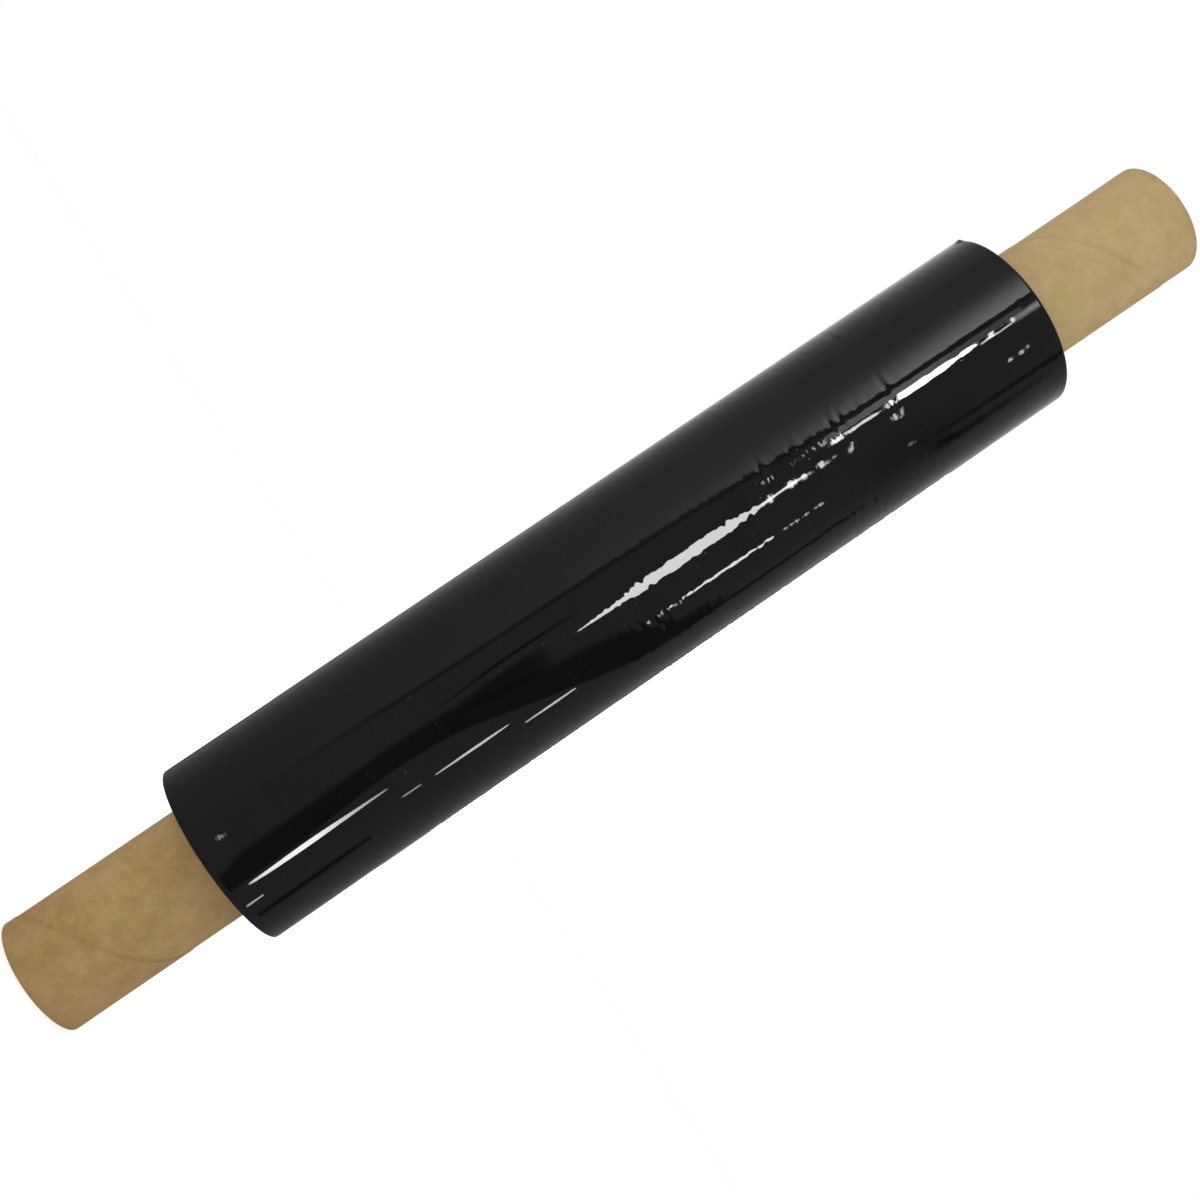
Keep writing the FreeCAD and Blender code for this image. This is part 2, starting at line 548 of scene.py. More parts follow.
@dataclass
class CoreTube:
    """The spiral-wound paperboard core, from its packed size."""

    length: float
    outer_radius: float
    bore_radius: float
    pitch: float = 100.0 * MM
    start_angle: float = 165.5
    joint_gap: float = 0.80 * MM
    joint_depth: float = 0.22 * MM
    ply_step: float = 0.22 * MM
    edge_round: float = 0.09 * MM
    columns_per_turn: int = 160
    rows_across: int = 30
    bore_brown: Colour = (0.292, 0.197, 0.094)
    bore_straw: Colour = (0.396, 0.294, 0.156)

    def ply_tree(self) -> bpy.types.NodeTree:
        """A ply wound as a helix: a strip of board, and the floor of the joint beside it.

        Returns:
            A geometry node group that makes one side of the tube's wall.
        """
        sheet, (radius, turns, columns, rows, pitch, start, gap, depth, step, edge_round,
                face) = NodeSheet.group(
            "Wound Ply", Tree.GEOMETRY,
            {"Radius": 0.02, "Turns": 8, "Columns per Turn": 160, "Rows": 30, "Pitch": 0.1,
             "Start Angle": 0.0, "Joint Gap": 0.001, "Joint Depth": 0.0004, "Ply Step": 0.0,
             "Edge Round": 0.0, "Face": "Material"},
            {"Geometry": "Geometry"})
        grid = sheet.flow("GeometryNodeMeshGrid", {
            "Size X": 1.0, "Size Y": 1.0, "Vertices X": turns * columns + 1.0,
            "Vertices Y": rows})
        x, y, _ = sheet.flow("GeometryNodeInputPosition").parts()
        turn = (x + 0.5) * turns - 1.0
        last_row = rows - 1.0
        row = (y + 0.5) * last_row
        # two rows are the joint's floor at this edge and one at the other; those between crowd
        # together beside the joint, where the surface bends most
        share = ((row - 2.0) / (last_row - 3.0)).at_least(0.0).at_most(1.0)
        share = (1.0 - sheet.math("COSINE", share * math.pi)) * 0.5
        on_floor = (row < 1.5).at_least(row > last_row - 0.5)
        at_edge = (row < 2.5).at_least(row > last_row - 1.5)
        across = gap + share * (pitch - gap) - (row < 0.5) * gap

        # how open the joint is comes from the nearest joint, so both its edges agree
        nearest_joint = turn + (share > 0.5)
        opening = sheet.vector(nearest_joint * 4.2, 45.5, 0.0).noise(1.0, 1.0).ease(
            0.38, 0.60, 0.25, 1.0)
        relief = (share - 0.5) * step + at_edge * edge_round * -1.0
        relief = relief * (1.0 - on_floor) - on_floor * (depth * opening)
        reach = radius + relief
        angle = start + turn * math.tau
        height = turn * pitch + across + gap * -0.5
        place = sheet.vector(reach * sheet.math("COSINE", angle),
                             reach * sheet.math("SINE", angle), height)
        wrap = sheet.vector(turn * math.tau * radius, across, pitch)

        marked = sheet.store(grid, "wrap", wrap)
        marked = sheet.store(marked, "opening", opening, single=True)
        moved = sheet.flow("GeometryNodeSetPosition", {"Geometry": marked, "Position": place})
        welded = sheet.flow("GeometryNodeMergeByDistance",
                            {"Geometry": moved, "Distance": 0.002 * MM})
        real = sheet.flow("GeometryNodeRealizeInstances", {"Geometry": welded})
        return sheet.give(Geometry=sheet.flow("GeometryNodeSetMaterial",
                                              {"Geometry": real, "Material": face}))

    def wall_side(self, tree: bpy.types.NodeTree, name: str, radius: float, depth: float,
                  step: float, face: bpy.types.Material) -> bpy.types.Mesh:
        """One side of the tube's wall as an open helical sheet, longer than the tube.

        Args:
            tree: The wound ply's node group.
            name: The mesh's name.
            radius: The side's radius.
            depth: How far the joint's floor lies inside that radius.
            step: How much the ply's radius grows from one edge to the other.
            face: The side's material.

        Returns:
            The mesh.
        """
        base = bpy.data.meshes.new(name + "_base")
        return grown_mesh(name, base, tree, {
            "Radius": radius,
            "Turns": math.ceil(self.length / self.pitch) + 2,
            "Columns per Turn": self.columns_per_turn,
            "Rows": self.rows_across,
            "Pitch": self.pitch,
            "Start Angle": math.radians(self.start_angle),
            "Joint Gap": self.joint_gap,
            "Joint Depth": depth,
            "Ply Step": step,
            "Edge Round": math.copysign(self.edge_round, depth),
            "Face": face,
        })

    def saw(self, shell: bmesh.types.BMesh, height: float, outward: float, slot: int) -> None:
        """Saw both sides off square at one end and close the wall between them.

        Args:
            shell: The two sides of the wall.
            height: The height of the cut.
            outward: 1 at the head end and -1 at the foot end.
            slot: The material index of the cut face.
        """
        point, normal = Vector((0.0, 0.0, height)), Vector((0.0, 0.0, outward))
        parts = shell.verts[:] + shell.edges[:] + shell.faces[:]
        bmesh.ops.bisect_plane(shell, geom=parts, dist=WELD, plane_co=point, plane_no=normal,
                               clear_outer=True)
        rim = [edge for edge in shell.edges if edge.is_boundary
               and all(abs((v.co - point).dot(normal)) < 10.0 * WELD for v in edge.verts)]
        for item in bmesh.ops.triangle_fill(shell, edges=rim, use_beauty=True)["geom"]:
            if isinstance(item, bmesh.types.BMFace):
                item.material_index = slot

    def build(self, shared: SharedEffects) -> None:
        """Join both sides of the wall, saw them to length and close the ends."""
        outside = KraftFace("kraft_outside").material(shared, self.length)
        inside = KraftFace("kraft_bore", self.bore_brown, self.bore_straw).material(
            shared, self.length)
        finishes = (outside, inside, BOARD_CUT.material(shared))
        tree = self.ply_tree()
        sides = (
            self.wall_side(tree, "core_outside", self.outer_radius, self.joint_depth,
                           self.ply_step, outside),
            self.wall_side(tree, "core_bore", self.bore_radius, -self.joint_depth, 0.0, inside),
        )
        shell = bmesh.new()
        for index, side in enumerate(sides):
            known = set(shell.faces)
            shell.from_mesh(side)
            for made in shell.faces:
                if made not in known:
                    made.material_index = index
        for height, outward in ((0.0, -1.0), (self.length, 1.0)):
            self.saw(shell, height, outward, len(sides))
        bmesh.ops.recalc_face_normals(shell, faces=shell.faces)
        mesh = bpy.data.meshes.new("paperboard_core")
        shell.to_mesh(mesh)
        shell.free()
        for finish in finishes:
            mesh.materials.append(finish)
        add_piece("paperboard_core", mesh, "core_tube")
        mesh.set_sharp_from_angle(angle=math.radians(40.0))


@dataclass(frozen=True)
class Crease:
    """A sharp fold that runs part of the way round the film.

    Heights are from the middle of the film in metres. Angles turn from the front of the roll,
    towards +X, in degrees. The slant is the rise in height for each metre round the roll.
    """

    height: float
    angle: float
    half_span: float
    depth: float
    slant: float = 0.0


@dataclass
class FilmRoll:
    """The wound film, from its packed size."""

    foot: float
    head: float
    radius: float
    core_radius: float
    width: float = 400.0 * MM
    web_wander: float = 0.6 * MM
    turn_bands: int = 9
    wander_step_angle: float = 137.5
    tail_ledge: float = 0.25 * MM
    tail_angle: float = 62.0
    rim_round: float = 0.6 * MM
    columns: int = 226
    smooth_row: float = 2.0 * MM
    fine_row: float = 0.80 * MM
    fine_from: float = -34.0 * MM
    undulation: float = 0.12 * MM
    scallop_depth: float = 0.10 * MM
    wrinkle_depth: float = 0.11 * MM
    creases: tuple[Crease, ...] = (
        Crease(65.0 * MM, -12.0, 7.0, 0.12 * MM, -0.16),
        Crease(79.0 * MM, -8.0, 8.0, 0.08 * MM, -0.2),
        Crease(98.5 * MM, -9.0, 8.0, 0.13 * MM, -0.16),
        Crease(103.5 * MM, -9.0, 7.0, 0.10 * MM, -0.1),
        Crease(125.8 * MM, -12.0, 12.0, 0.17 * MM, -0.1),
        Crease(65.5 * MM, -45.0, 34.0, 0.05 * MM),
        Crease(126.0 * MM, -52.0, 36.0, 0.08 * MM),
        Crease(100.0 * MM, 46.0, 22.0, 0.03 * MM),
        Crease(152.0 * MM, 118.0, 40.0, 0.10 * MM, 0.05),
        Crease(84.0 * MM, -150.0, 45.0, 0.12 * MM, -0.05),
    )
    lip_height: float = 0.9 * MM
    lip_angle: float = -75.0
    tail_lift: float = 0.35 * MM
    edge_drift: float = 0.18 * MM
    quiet_angle: float = 16.0

    @property
    def middle(self) -> float:
        """The height of the middle of the film."""
        return self.foot + self.width / 2

    def profile(self) -> list[tuple[float, float, float]]:
        """The section of the roll as rows, round from the core's surface and back to it.

        Returns:
            (share of the way out, height, end) for each row, where end is -1 on the foot
            end, 1 on the head end and 0 on the side.
        """
        band_rows = (0.03, 0.5, 0.97)
        shares = [(band + at) / self.turn_bands for band in range(self.turn_bands)
                  for at in band_rows]
        build = self.radius - self.core_radius
        inset = self.rim_round / build
        outward = [0.0] + [share for share in shares if share < 1.0 - inset]
        corner = [(1.0 - inset * (1.0 - math.sin(turn)), self.rim_round * (1.0 - math.cos(turn)))
                  for turn in np.radians((0.0, 30.0, 60.0))]
        foot = self.foot
        head = self.foot + self.width
        rows = [(share, foot, -1.0) for share in outward]
        rows += [(share, foot + rise, -1.0) for share, rise in corner]
        side_low = foot + self.rim_round
        side_high = head - self.rim_round
        fine_low = self.middle + self.fine_from
        smooth_count = round((fine_low - side_low) / self.smooth_row)
        fine_count = round((side_high - fine_low) / self.fine_row)
        heights = list(np.linspace(side_low, fine_low, smooth_count, endpoint=False))
        heights += list(np.linspace(fine_low, side_high, fine_count + 1))
        rows += [(1.0, float(height), 0.0) for height in heights]
        rows += [(share, head - rise, 1.0) for share, rise in reversed(corner)]
        rows += [(share, head, 1.0) for share in reversed(outward)]
        return rows

    def base_mesh(self) -> bpy.types.Mesh:
        """The roll turned as one closed surface, with the ledge of the film's cut end."""
        rows = self.profile()
        share, height, end = (np.array(column) for column in zip(*rows))
        turn = np.linspace(0.0, 1.0, self.columns)
        angle = math.radians(self.tail_angle) + 2.0 * math.pi * turn
        outer = self.radius - self.tail_ledge * turn
        radius = self.core_radius + np.outer(outer - self.core_radius, share)
        shape = radius.shape
        points = np.stack([
            radius * np.cos(angle)[:, None],
            radius * np.sin(angle)[:, None],
            np.broadcast_to(height, shape),
        ], axis=-1)
        wrap = np.stack([
            np.broadcast_to((2.0 * math.pi * self.radius * turn)[:, None], shape),
            np.broadcast_to(height - self.middle, shape),
            np.broadcast_to(share, shape),
        ], axis=-1)
        ends = np.broadcast_to(end, shape)

        columns, count = shape
        here = np.arange(columns)[:, None] * count
        there = np.roll(np.arange(columns), -1)[:, None] * count
        low = np.arange(count)[None, :]
        high = np.roll(np.arange(count), -1)[None, :]
        quads = np.stack([here + low, there + low, there + high, here + high], axis=-1)
        mesh = bpy.data.meshes.new("film_base")
        mesh.from_pydata(points.reshape(-1, 3).tolist(), [], quads.reshape(-1, 4).tolist())
        layer = mesh.attributes.new("wrap", "FLOAT_VECTOR", "POINT")
        layer.data.foreach_set("vector", wrap.astype(np.float32).ravel())
        layer = mesh.attributes.new("end", "FLOAT", "POINT")
        layer.data.foreach_set("value", ends.astype(np.float32).ravel())
        return mesh

    def film_tree(self) -> bpy.types.NodeTree:
        """How the wound film lies: soft hollows, fine wrinkles, folds and wandering edges.

        Returns:
            A geometry node group that moves the turned roll's points and dresses its faces.
        """
        sheet, (turned, undulation, scallop_depth, wrinkle_depth, web_wander, turn_bands,
                wander_step, lip, side, ends) = NodeSheet.group(
            "Wound Film", Tree.GEOMETRY,
            {"Geometry": "Geometry", "Undulation": 0.0, "Scallop Depth": 0.0,
             "Wrinkle Depth": 0.0, "Web Wander": 0.0, "Turn Bands": 9, "Wander Step": 0.0,
             "Lip": 0.0, "Side": "Material", "Ends": "Material"},
            {"Geometry": "Geometry"})
        around, height, share = sheet.attribute("wrap").parts()
        end = sheet.attribute("end", single=True)
        on_end = abs(end)
        x, y, z = sheet.flow("GeometryNodeInputPosition").parts()
        to_rim = self.width / 2 - abs(height)
        on_side = (on_end < 0.5) * to_rim.ease(0.5 * MM, 4.0 * MM)

        def lumps(round_scale: float, up_scale: float, seed: float, *grain: float) -> Value:
            """Noise on the unrolled film, from its lumps per metre and its grain."""
            return sheet.vector(around * round_scale, height * up_scale, seed).noise(1.0, *grain)

        rise = undulation * ((lumps(24.0, 7.0, 1.7, 1.0) - 0.5) * 1.4
                             + (lumps(60.0, 11.0, 8.1, 1.0) - 0.5) * 0.35)
        # where the film is scalloped, and where it is slack enough to wrinkle
        loose = height.bell(99.0 * MM, 20.0 * MM)
        near_head = height.bell(176.0 * MM, 17.0 * MM)
        scalloped = (height.ease(-34.0 * MM, -8.0 * MM, 0.0, 0.6)
                     + height.bell(-1.0 * MM, 7.0 * MM) * 0.3 + loose * 0.3 + near_head * -0.2
                     + height.bell(143.0 * MM, 15.0 * MM) * -0.35)
        aside = abs(around - self.around(self.quiet_angle))
        quiet = aside.ease(10.2 * MM, 16.5 * MM, 0.05, 1.0).at_least(
            height.ease(50.0 * MM, 60.0 * MM, 1.0, 0.0))
        slack = ((loose + near_head * 0.12 + height.ease(20.0 * MM, 70.0 * MM, 0.0, 0.14))
                 * lumps(20.0, 26.0, 4.4, 2.0).ease(0.34, 0.60, 0.45, 1.0) * quiet)
        rise += ((lumps(230.0, 400.0, 6.2, 1.0) - 0.5) * 2.0 * (scalloped * quiet)
                 * scallop_depth)
        rise += ((lumps(50.0, 330.0, 2.9, 2.0, 0.55, 0.25) - 0.5) * 2.0 * slack
                 * wrinkle_depth)
        for crease in self.creases:
            rise += self.crease_rise(sheet, crease, around, height)

        tail_wave = sheet.vector(height * 22.0, 0.0, 3.0).noise(1.0, 2.0).ease(0.42, 0.75)
        tail_lift = around.ease(0.0, 9.0 * MM, 1.0, 0.0) * tail_wave * self.tail_lift
        rise = (rise + tail_lift) * on_side
        rise += (around.bell(self.around(self.lip_angle), 2.6 * MM)
                 * height.bell(self.width / 2, 1.6 * MM) * share * lip)

        band = sheet.math("FLOOR", share * turn_bands * 0.9999)
        wander = web_wander * 0.5 * (1.0 - sheet.math("COSINE", band * wander_step))
        edge_noise = sheet.vector(around * 18.0, share * 5.0, end).noise(1.0, 2.0) - 0.5
        drift = wander * on_end + edge_noise * on_end * self.edge_drift
        radius = sheet.math("SQRT", x * x + y * y)
        grow = (radius + rise) / radius
        place = sheet.vector(x * grow, y * grow, z + drift)
        moved = sheet.flow("GeometryNodeSetPosition", {"Geometry": turned, "Position": place})
        marked = sheet.store(moved, "slack", slack * on_side, single=True)
        real = sheet.flow("GeometryNodeRealizeInstances", {"Geometry": marked})
        dressed = sheet.flow("GeometryNodeSetMaterial", {"Geometry": real, "Material": side})
        return sheet.give(Geometry=sheet.flow("GeometryNodeSetMaterial", {
            "Geometry": dressed, "Selection": on_end > 0.7, "Material": ends}))

    def around(self, angle: float) -> float:
        """Metres round the roll from the film's cut end to an angle from the front."""
        turned = (angle - 90.0 - self.tail_angle) % 360.0
        return math.radians(turned) * self.radius

    def crease_rise(self, sheet: NodeSheet, crease: Crease, around: Value,
                    height: Value) -> Value:
        """The rise of one crease: a sharp valley with a softer ridge beside it.

        Args:
            sheet: The geometry sheet to build in.
            crease: The crease.
            around: Metres round the roll.
            height: Metres from the middle of the film.

        Returns:
            The rise in metres.
        """
        wiggle = sheet.vector(around * 70.0, crease.height * 900.0, 0.0).noise(1.0, 2.0) - 0.5
        middle = self.around(crease.angle)
        line = crease.height + wiggle * (3.2 * MM) + (around - middle) * crease.slant
        valley = height.bell(line, 1.0 * MM)
        ridge = height.bell(line + 2.3 * MM, 1.5 * MM)
        span = around.bell(middle, math.radians(crease.half_span) * self.radius * 0.75)
        return (ridge * 0.6 - valley) * span * crease.depth

    def build(self, shared: SharedEffects) -> None:
        """Build the roll of film."""
        mesh = grown_mesh("black_film", self.base_mesh(), self.film_tree(), {
            "Undulation": self.undulation,
            "Scallop Depth": self.scallop_depth,
            "Wrinkle Depth": self.wrinkle_depth,
            "Web Wander": self.web_wander,
            "Turn Bands": self.turn_bands,
            "Wander Step": math.radians(self.wander_step_angle),
            "Lip": self.lip_height,
            "Side": FilmFace("film_side").material(shared),
            "Ends": FILM_ENDS.material(shared),
        })
        shell = bmesh.new()
        shell.from_mesh(mesh)
        bmesh.ops.remove_doubles(shell, verts=shell.verts, dist=WELD)
        bmesh.ops.recalc_face_normals(shell, faces=shell.faces)
        shell.to_mesh(mesh)
        shell.free()
        add_piece("black_film", mesh, "film_roll")


@dataclass(frozen=True)
class PhotoCamera:
    """The camera of the photograph, found from the roll's outlines in the picture."""

    place: Colour = (1.1 * MM, -609.6 * MM, 210.3 * MM)
    rise_angle: float = 5.69
    roll_angle: float = 55.79
    lens_mm: float = 43.76
    sensor_mm: float = 36.0

    def build(self) -> bpy.types.Object:
        """Make the camera the scene's camera."""
        data = bpy.data.cameras.new("photo_camera")
        data.lens = self.lens_mm
        data.sensor_width = self.sensor_mm
        data.clip_start = 10.0 * MM
        camera = new_object("photo_camera", data)
        rise = math.radians(self.rise_angle)
        ahead = Vector((0.0, math.cos(rise), math.sin(rise)))
        level = ahead.to_track_quat("-Z", "Y")
        rolled = level @ Quaternion((0.0, 0.0, 1.0), math.radians(self.roll_angle))
        camera.rotation_mode = "QUATERNION"
        camera.rotation_quaternion = rolled
        camera.location = self.place
        bpy.context.scene.camera = camera
        return camera


def stage_material(name: str) -> tuple[bpy.types.Material, NodeSheet]:
    """Start a material with no nodes, for a stage piece.

    Args:
        name: The material's name.

    Returns:
        The material and its empty sheet.
    """
    material, sheet, _ = open_material(name)
    sheet.tree.nodes.clear()
    return material, sheet


class CardFade(Enum):
    """How a card fades across its width: the shares of the width over which it comes in from
    its low and its high edge, and the power that gathers it towards the middle."""

    CRISP = (0.04, 0.04, 1.0)
    SOFT = (0.5, 0.5, 1.0)
    SOFT_LOW = (0.3, 0.06, 1.0)
    GATHERED_HIGH = (1.0, 0.03, 2.5)
    WIDE_HIGH = (1.0, 0.02, 1.0)


@dataclass(frozen=True)
class ReflectionCard:
    """A lamp strip, grey card or dark flag, hung where the camera sees it in the film.

    Each station is (height, low angle, high angle, share): the height on the film from its
    middle in mm, the angles from the front of the roll towards +X in degrees, and how much of
    the card's effect it has there, which may be left out where it is 1. The card runs smoothly
    through its stations.
    """

    name: str
    glow: float
    stations: tuple[tuple[float, ...], ...]
    passes: float = 1.0
    fade: CardFade = CardFade.CRISP
    distance: float = 0.45

    def outline(self, steps: int = 8) -> np.ndarray:
        """The stations with smooth ones between them, by Catmull-Rom curves."""
        rows = np.array([(*station, 1.0)[:4] for station in self.stations], float)
        padded = np.vstack([2 * rows[0] - rows[1], rows, 2 * rows[-1] - rows[-2]])
        out = []
        for i in range(1, len(padded) - 2):
            before, start, end, after = padded[i - 1:i + 3]
            for t in np.arange(steps) / steps:
                out.append(0.5 * (2 * start + (end - before) * t
                                  + (2 * before - 5 * start + 4 * end - after) * t ** 2
                                  + (3 * start - before - 3 * end + after) * t ** 3))
        out.append(rows[-1])
        return np.array(out)

    def place(self, camera: Vector, roll: FilmRoll, height: float, angle: float) -> Vector:
        """The point that the camera sees reflected at a place on the film.

        Args:
            camera: The camera's place.
            roll: The film roll.
            height: Height from the middle of the film, in mm.
            angle: Angle from the front, in degrees.

        Returns:
            The point at the card's distance from the film.
        """
        turn = math.radians(angle)
        outward = Vector((math.sin(turn), -math.cos(turn), 0.0))
        spot = outward * roll.radius + Vector((0.0, 0.0, roll.middle + height * MM))
        sight = (spot - camera).normalized()
        return spot + sight.reflect(outward) * self.distance

    def build(self, camera: Vector, roll: FilmRoll) -> None:
        """Hang the card where only reflections see it.

        Args:
            camera: The camera's place.
            roll: The film roll.
        """
        rows = self.outline()
        points = []
        for height, low, high, _ in rows:
            points.append(self.place(camera, roll, height, low))
            points.append(self.place(camera, roll, height, high))
        faces = [(2 * i, 2 * i + 1, 2 * i + 3, 2 * i + 2) for i in range(len(rows) - 1)]
        mesh = bpy.data.meshes.new(self.name)
        mesh.from_pydata(points, [], faces)
        uv = mesh.uv_layers.new(name="card")
        for loop in mesh.loops:
            station, side = divmod(loop.vertex_index, 2)
            uv.data[loop.index].uv = (max(0.0, rows[station][3]), side)
        mesh.materials.append(self.material())
        card = new_object(self.name, mesh)
        card.visible_camera = False
        card.visible_diffuse = False
        card.visible_transmission = False
        card.visible_shadow = False

    def material(self) -> bpy.types.Material:
        """Light of its own, over a share of what lies behind it."""
        material, sheet = stage_material(self.name)
        share, across, _ = sheet.flow("ShaderNodeUVMap", output="UV", uv_map="card").parts()
        from_low, from_high, power = self.fade.value
        fade = across.ease(0.0, from_low) * across.ease(1.0 - from_high, 1.0, 1.0, 0.0)
        effect = share * sheet.math("POWER", fade, power)
        passing = 1.0 - effect * (1.0 - self.passes)
        emission = sheet.flow("ShaderNodeEmission", {"Strength": effect * self.glow})
        see_through = sheet.flow("ShaderNodeBsdfTransparent",
                                 {"Color": sheet.vector(passing, passing, passing)})
        both = sheet.flow("ShaderNodeAddShader", {0: emission, 1: see_through})
        sheet.node("ShaderNodeOutputMaterial", {"Surface": both})
        return material


@dataclass(frozen=True)
class Glint:
    """A glint painted into the film's reflection by a small glowing card, where a dent would catch
    a lamp: its place and half sizes, in mm and degrees.
    """

    height: float
    angle: float
    half_height: float
    half_angle: float
    glow: float
    slant: float = 0.0

    def card(self, name: str) -> ReflectionCard:
        """The small rounded glowing card, seen only in the film's reflection, that paints the
        glint.
        """
        stations = []
        for step, share in ((-1.0, 0.2), (-0.45, 0.85), (0.45, 0.85), (1.0, 0.2)):
            middle = self.angle + self.slant * step * self.half_height
            half = self.half_angle * share
            height = self.height + step * self.half_height
            stations.append((height, middle - half, middle + half, 1.0))
        return ReflectionCard(name, self.glow, tuple(stations))


@dataclass(frozen=True)
class SoftLamp:
    """A soft area lamp."""

    name: str
    place: Colour
    target: Colour
    size: tuple[float, float]
    watts: float
    in_gloss: bool = False

    def build(self) -> None:
        """Hang the lamp and point it at its target."""
        data = bpy.data.lights.new(self.name, "AREA")
        data.shape = "RECTANGLE"
        data.size, data.size_y = self.size
        data.energy = self.watts
        lamp = new_object(self.name, data)
        lamp.location = self.place
        aim = Vector(self.target) - Vector(self.place)
        lamp.rotation_mode = "QUATERNION"
        lamp.rotation_quaternion = aim.to_track_quat("-Z", "Y")
        lamp.visible_camera = False
        lamp.visible_glossy = self.in_gloss


